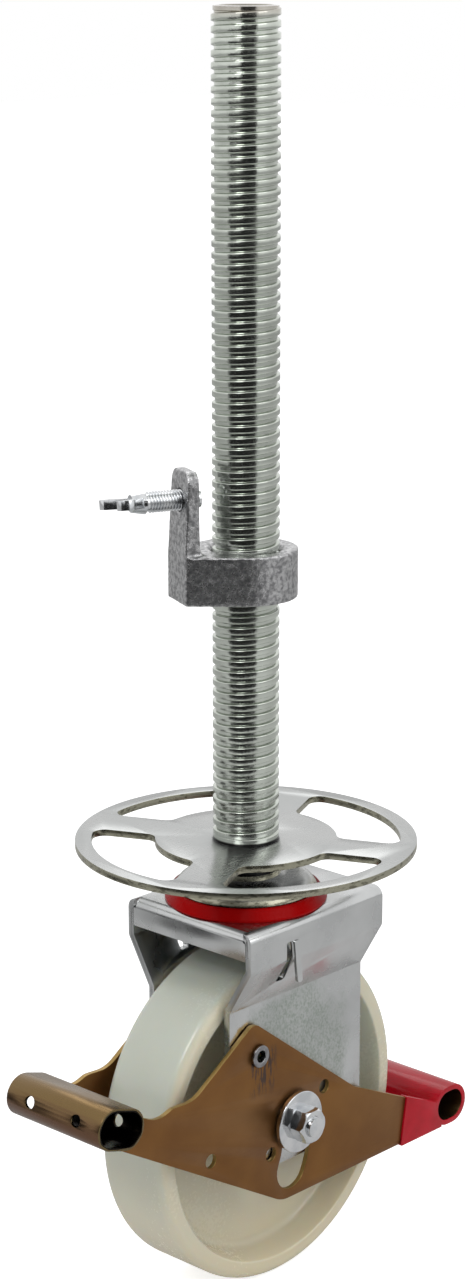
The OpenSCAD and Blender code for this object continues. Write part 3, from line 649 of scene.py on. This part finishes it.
def lathe(name: str, profile: list[tuple[float, float]], steps: int) -> bpy.types.Object:
    """Return a closed solid turned round the Z axis.

    Args:
        name: name of the object.
        profile: closed loop of (radius, height), in metres.
        steps: divisions round the axis.
    Returns:
        The new object, at the origin with its place in its mesh.
    """
    bm = bmesh.new()
    loops = []
    for i in range(steps):
        a = 2 * math.pi * i / steps
        loops.append([bm.verts.new((r * math.cos(a), r * math.sin(a), z)) for r, z in profile])
    for i in range(steps):
        here, there = loops[i], loops[(i + 1) % steps]
        for k in range(len(profile)):
            m = (k + 1) % len(profile)
            bm.faces.new((here[k], there[k], there[m], here[m]))
    bmesh.ops.recalc_face_normals(bm, faces=bm.faces)
    mesh = bpy.data.meshes.new(name)
    bm.to_mesh(mesh)
    bm.free()
    return object_of(name, mesh)


@dataclass
class WoundThread:
    """A right-hand ridge whose foot is buried in its rod, so that only the crest and the flanks show."""

    outer_r: float
    pitch: float
    depth: float
    length: float
    top: float
    steps: int
    finish: Finish
    crest: float = 0.50
    foot: float = 0.76
    buried: float = 0.55
    edge: float = 0.27

    def wind(self, rod: bpy.types.Object) -> bpy.types.Object:
        """Wind the thread round a rod on the Z axis.

        Args:
            rod: object whose mesh is the rod.
        Returns:
            The rod, with its thread.
        """
        height = self.depth * (1 + self.buried)
        spread = (self.foot - self.crest) * (1 + self.buried)
        return run_tree(rod, thread_tree(), {
            "Turns": self.length / self.pitch, "Pitch": self.pitch, "Radius": self.outer_r - height / 2,
            "Crest Width": self.crest * self.pitch, "Foot Width": (self.crest + spread) * self.pitch,
            "Height": height, "Top": self.top, "Edge": self.edge * self.depth,
            "Steps": self.steps, "Finish": self.finish.material()})


@dataclass
class ThreadedSpindle:
    """Tube with a rolled round thread and a plain turned end."""

    outer_r: float = 19.0 * MM
    bore_r: float = 14.0 * MM
    depth: float = 1.65 * MM
    pitch: float = 6.35 * MM
    plain_end: float = 2.6 * MM
    end_r: float = 18.0 * MM
    thread_top: float = -1.8 * MM
    thread_foot: float = -466.2 * MM
    cut_off: float = -0.5 * MM
    steps: int = 60

    def core(self) -> bpy.types.Object:
        """Make the tube under the thread, with its turned end."""
        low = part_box("spindle")[0].z
        root = self.outer_r - self.depth
        foot = self.thread_foot + self.pitch / 2
        edge = 0.5 * MM
        profile = [(self.bore_r, -edge), (self.bore_r + edge, 0.0), (self.end_r - edge, 0.0),
                   (self.end_r, -edge), (self.end_r, -self.plain_end), (root, -self.plain_end - edge),
                   (root, foot), (self.outer_r, foot - self.depth), (self.outer_r, low), (self.bore_r, low)]
        return lathe("spindle_thread", profile, 96)

    def build(self) -> None:
        """Make the spindle and settle it on its body."""
        thread = WoundThread(self.outer_r, self.pitch, self.depth, self.thread_top - self.thread_foot,
                             self.thread_top, self.steps, THREAD_ZINC)
        piece = thread.wind(self.core())
        for vertex in piece.data.vertices:
            if vertex.co.xy.length > self.end_r - self.depth:
                vertex.co.z = min(vertex.co.z, self.cut_off)
        smooth_by_angle(piece.data, math.radians(40.0))
        settle(piece, Body.SPINDLE, THREAD_ZINC, "zinc_thread", "spindle")


@dataclass
class WingScrew:
    """The wing screw's own head and wings, on a shank with a wound thread."""

    outer_r: float = 6.0 * MM
    pitch: float = 1.75 * MM
    depth: float = 0.95 * MM
    turn: float = math.radians(155.7)
    height: float = -267.0 * MM
    start: float = 28.3 * MM
    length: float = 32.0 * MM
    past_thread: float = 0.6 * MM
    slack: float = 0.3 * MM
    sunk: float = 1.4

    def draw_in(self, mesh: bpy.types.Mesh, along: Vector) -> None:
        """Draw the plain shank in, under the foot of the thread.

        Args:
            mesh: the screw's mesh.
            along: direction of the screw's axis.
        """
        centre = Vector((0.0, 0.0, self.height))
        for vertex in mesh.vertices:
            reach = (vertex.co - centre).dot(along)
            on_axis = centre + along * reach
            away = vertex.co - on_axis
            under_thread = reach < self.start + self.length + self.past_thread
            if under_thread and away.length < self.outer_r + self.slack:
                vertex.co = on_axis + away * ((self.outer_r - self.sunk * self.depth) / self.outer_r)

    def build(self) -> None:
        """Make the screw and its thread, and settle both."""
        along = Vector((math.cos(self.turn), math.sin(self.turn), 0.0))
        head = Skin("wing_screw", Body.WING_SCREW, PLATED, "bright_zinc", 0.8 * MM, 3).build()
        self.draw_in(head.data, along)
        inner, root = self.outer_r - 2 * self.depth, self.outer_r - self.depth
        shank = [(inner, -self.length), (root, -self.length), (root, 0.0), (inner, 0.0)]
        rod = lathe("wing_screw_thread", shank, 32)
        thread = WoundThread(self.outer_r, self.pitch, self.depth, self.length - self.pitch,
                             -self.pitch / 2, 28, PLATED, crest=0.2, foot=0.8)
        piece = thread.wind(rod)
        lie = (-UP).rotation_difference(along).to_matrix().to_4x4()
        piece.data.transform(Matrix.Translation(along * self.start + Vector((0, 0, self.height))) @ lie)
        smooth_by_angle(piece.data, math.radians(50.0))
        settle(piece, Body.WING_SCREW, PLATED, "bright_zinc")


@dataclass
class CastPiece:
    """A casting: the node's own form with softened edges and a sandy skin."""

    node: str
    body: Body
    finish: Finish
    slot: str
    voxel: float = 0.7 * MM
    soften: int = 6
    relief: float = 0.45 * MM
    relief_size: float = 5.0 * MM

    def build(self) -> bpy.types.Object:
        """Make the casting and settle it."""
        piece = welded_copy(self.node, self.node + "_cast")
        remesh = piece.modifiers.new("remesh", "REMESH")
        remesh.mode = "VOXEL"
        remesh.voxel_size = self.voxel
        smooth = piece.modifiers.new("soften", "SMOOTH")
        smooth.factor = 0.5
        smooth.iterations = self.soften
        sand = bpy.data.textures.new(self.node + "_sand", "CLOUDS")
        sand.noise_scale = self.relief_size
        sand.noise_depth = 4
        push = piece.modifiers.new("sand", "DISPLACE")
        push.texture = sand
        push.texture_coords = "LOCAL"
        push.strength = self.relief
        push.mid_level = 0.75
        bake_modifiers(piece)
        piece.data.shade_smooth()
        return settle(piece, self.body, self.finish, self.slot, self.node)


@dataclass
class CarriedNode:
    """A frame node whose own shape is right: it stays and only takes a finish."""

    node: str
    finish: Finish

    def build(self) -> None:
        """Dress the node."""
        mesh_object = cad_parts[self.node]
        mesh_object.data.materials.clear()
        mesh_object.data.materials.append(self.finish.material())
        LOG.info("%s: %s", self.node, self.finish.name)


@dataclass
class Castor:
    """The whole castor: every node dressed, threads wound and castings softened."""

    skins: list[Skin] = field(default_factory=lambda: [
        Skin("hand_disc", Body.SPINDLE, ZINC, "zinc_sheet", 0.5 * MM),
        Skin("swivel_cap", Body.SPINDLE, ZINC, "zinc_sheet", 0.3 * MM),
        Skin("seal_ring", Body.FORK, RED_RING, "red_plastic", 0.3 * MM),
        Skin("fork", Body.FORK, FORK_ZINC, "zinc_sheet", 0.5 * MM),
        Skin("pivot_rivet_front", Body.FORK, RIVET, "bronze_passivated", 0.5 * MM, 3),
        Skin("pivot_rivet_back", Body.FORK, RIVET, "bronze_passivated", 0.5 * MM, 3),
        Skin("rocker_plate_front", Body.ROCKER, BRONZE, "bronze_passivated", 0.35 * MM),
        Skin("rocker_plate_back", Body.ROCKER, BRONZE, "bronze_passivated", 0.35 * MM),
        Skin("handle_tube", Body.ROCKER, GOLD, "gold_passivated", 0.4 * MM),
        Skin("pedal_tube", Body.ROCKER, GOLD, "gold_passivated", 0.3 * MM),
        Skin("pedal_cover", Body.ROCKER, RED_COAT, "red_plastic", 0.8 * MM, 3),
        Skin("washer_front", Body.AXLE, PLATED, "bright_zinc", 0.5 * MM, 3),
        Skin("washer_back", Body.AXLE, PLATED, "bright_zinc", 0.5 * MM, 3),
        Skin("axle_nut", Body.AXLE, PLATED, "bright_zinc", 0.35 * MM),
        Skin("axle_bolt", Body.AXLE, PLATED, "bright_zinc", 0.5 * MM),
        Skin("wheel", Body.WHEEL, NYLON, "ivory_nylon", 0.0),
    ])
    carried: list[CarriedNode] = field(default_factory=lambda: [
        CarriedNode("kingpin", STEEL), CarriedNode("kingpin_nut", STEEL), CarriedNode("lower_cup", ZINC),
        CarriedNode("upper_balls", BALL), CarriedNode("lower_balls", BALL),
        CarriedNode("brake_bridge", ZINC), CarriedNode("brake_pad", STEEL),
        CarriedNode("guide_bush_front", STEEL), CarriedNode("guide_bush_back", STEEL),
        CarriedNode("bearing_sleeve", STEEL), CarriedNode("roller_cage", CAGE),
        CarriedNode("rollers", BALL),
    ])

    def build(self) -> None:
        """Build every sub-assembly in order."""
        ThreadedSpindle().build()
        WingScrew().build()
        CastPiece("collar_nut", Body.COLLAR, CAST, "cast_zinc").build()
        for skin in self.skins:
            skin.build()
        for node in self.carried:
            node.build()


@dataclass
class Studio:
    """Pale floor, soft lamps and the camera at the viewing angle of the picture."""

    floor_z: float = -0.735
    camera_place: tuple[float, float, float] = (-1.1282, -1.0479, 0.047)
    azimuth: float = math.radians(46.83)
    pitch: float = math.radians(14.4877)
    roll: float = math.radians(-0.0665)
    lens: float = 52.71
    sensor_height: float = 24.0
    ambient: float = 0.48
    floor_glow: float = 0.74
    floor_half: float = 8.0
    floor_gap: float = 0.3 * MM

    def floor(self) -> None:
        """Make the pale floor, which glows a little for the camera and keeps the shadow."""
        mesh = bpy.data.meshes.new("floor")
        half = self.floor_half
        z = self.floor_z - self.floor_gap
        mesh.from_pydata([(-half, -half, z), (half, -half, z), (half, half, z), (-half, half, z)],
                         [], [(0, 1, 2, 3)])
        floor = object_of("floor", mesh)
        material = bpy.data.materials.new("studio_floor")
        material.use_nodes = True
        n = Nodes(material.node_tree)
        shader = material.node_tree.nodes["Principled BSDF"]
        shader.inputs["Base Color"].default_value = (0.80, 0.80, 0.80, 1.0)
        shader.inputs["Roughness"].default_value = 0.9
        shader.inputs["Emission Color"].default_value = (1.0, 1.0, 1.0, 1.0)
        seen = n.add("ShaderNodeLightPath")
        n.link(n.math("MULTIPLY", seen.outputs["Is Camera Ray"], self.floor_glow),
               shader.inputs["Emission Strength"])
        mesh.materials.append(material)

    def sky(self) -> None:
        """Make the white surround, softer as a lamp than as a background or a reflection."""
        world = bpy.data.worlds.new("studio_surround")
        bpy.context.scene.world = world
        world.use_nodes = True
        n = Nodes(world.node_tree)
        back = world.node_tree.nodes["Background"]
        back.inputs["Color"].default_value = (1.0, 1.0, 1.0, 1.0)
        seen = n.add("ShaderNodeLightPath")
        shown = n.math("MAXIMUM", seen.outputs["Is Camera Ray"], seen.outputs["Is Transmission Ray"])
        shown = n.math("MAXIMUM", shown, seen.outputs["Is Glossy Ray"])
        n.link(n.math("MAXIMUM", shown, self.ambient), back.inputs["Strength"])

    def card(self, name: str, centre: Vector, width: float, height: float, shade: float,
             core: float) -> None:
        """Hang a dark card that only metal sees, for contrast on round plated parts.

        Args:
            name: name of the card.
            centre: its middle, in metres.
            width: its width.
            height: its height.
            shade: its grey, from 0 to 1.
            core: share of the width that is solid, before the card thins out to its sides.
        """
        aim = -Vector((centre.x, centre.y, 0.0)).normalized()
        right = aim.cross(UP)
        corners = [centre + right * (sx * width / 2) + UP * (sz * height / 2)
                   for sx, sz in ((-1, -1), (1, -1), (1, 1), (-1, 1))]
        mesh = bpy.data.meshes.new(name)
        mesh.from_pydata([tuple(c) for c in corners], [], [(0, 1, 2, 3)])
        card = object_of(name, mesh)
        material = bpy.data.materials.new(name)
        material.use_nodes = True
        shader = material.node_tree.nodes["Principled BSDF"]
        shader.inputs["Base Color"].default_value = (shade, shade, shade, 1.0)
        shader.inputs["Roughness"].default_value = 0.9
        n = Nodes(material.node_tree)
        away = n.add("ShaderNodeVectorMath", operation="DISTANCE")
        n.link(n.stretch(n.add("ShaderNodeTexCoord").outputs["Object"], (1.0, 1.0, 0.0)), away.inputs[0])
        away.inputs[1].default_value = (centre.x, centre.y, 0.0)
        thin = n.ramp(away.outputs["Value"], core * width / 2, width / 2)
        n.link(n.math("SUBTRACT", 1.0, thin), shader.inputs["Alpha"])
        mesh.materials.append(material)
        for flag in ("visible_camera", "visible_diffuse", "visible_shadow", "visible_transmission"):
            setattr(card, flag, False)

    def lamp(self, name: str, place: Vector, aim: Vector, size: float, power: float) -> None:
        """Hang one soft square lamp.

        Args:
            name: name of the lamp.
            place: where it hangs, in metres.
            aim: point that it faces.
            size: edge of the square.
            power: watts.
        """
        data = bpy.data.lights.new(name, "AREA")
        data.shape = "SQUARE"
        data.size = size
        data.energy = power
        lamp = bpy.data.objects.new(name, data)
        lamp.location = place
        lamp.rotation_euler = (aim - place).to_track_quat("-Z", "Y").to_euler()
        bpy.context.scene.collection.objects.link(lamp)

    def camera(self) -> None:
        """Set the camera as the picture's perspective says."""
        data = bpy.data.cameras.new("camera")
        data.sensor_fit = "VERTICAL"
        data.sensor_height = self.sensor_height
        data.lens = self.lens
        data.clip_end = 100.0
        camera = bpy.data.objects.new("camera", data)
        ahead = Vector((math.sin(self.azimuth) * math.cos(self.pitch),
                        math.cos(self.azimuth) * math.cos(self.pitch), -math.sin(self.pitch)))
        turn = ahead.to_track_quat("-Z", "Y").to_matrix().to_4x4() @ Matrix.Rotation(self.roll, 4, "Z")
        camera.matrix_world = Matrix.Translation(self.camera_place) @ turn
        bpy.context.scene.collection.objects.link(camera)
        bpy.context.scene.camera = camera

    def build(self) -> None:
        """Set the whole studio round the castor."""
        middle = Vector((0.0, 0.0, -0.45))
        self.floor()
        self.sky()
        self.card("low_card", Vector((-0.645, -0.383, -0.4175)),
                  width=2.0, height=0.635, shade=0.004, core=0.72)
        self.card("high_card", Vector((-0.46, -0.59, 0.01)),
                  width=0.85, height=0.22, shade=0.006, core=0.75)
        self.card("lip_card", Vector((-0.36, 0.36, -0.655)),
                  width=0.34, height=0.15, shade=0.004, core=0.35)
        self.lamp("key_lamp", Vector((-1.5, -0.4, 1.2)), middle, size=0.8, power=13.0)
        self.lamp("fill_lamp", Vector((0.3, -1.7, 0.7)), middle, size=1.2, power=7.0)
        self.lamp("back_lamp", Vector((1.5, 1.5, 1.9)), middle, size=1.6, power=12.0)
        self.camera()
        view = bpy.context.scene.view_settings
        view.view_transform = "Standard"


def main() -> None:
    """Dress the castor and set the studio."""
    logging.basicConfig(level=logging.INFO, format="%(name)s %(message)s")
    Castor().build()
    Studio().build()


if __name__ == "__main__":
    main()
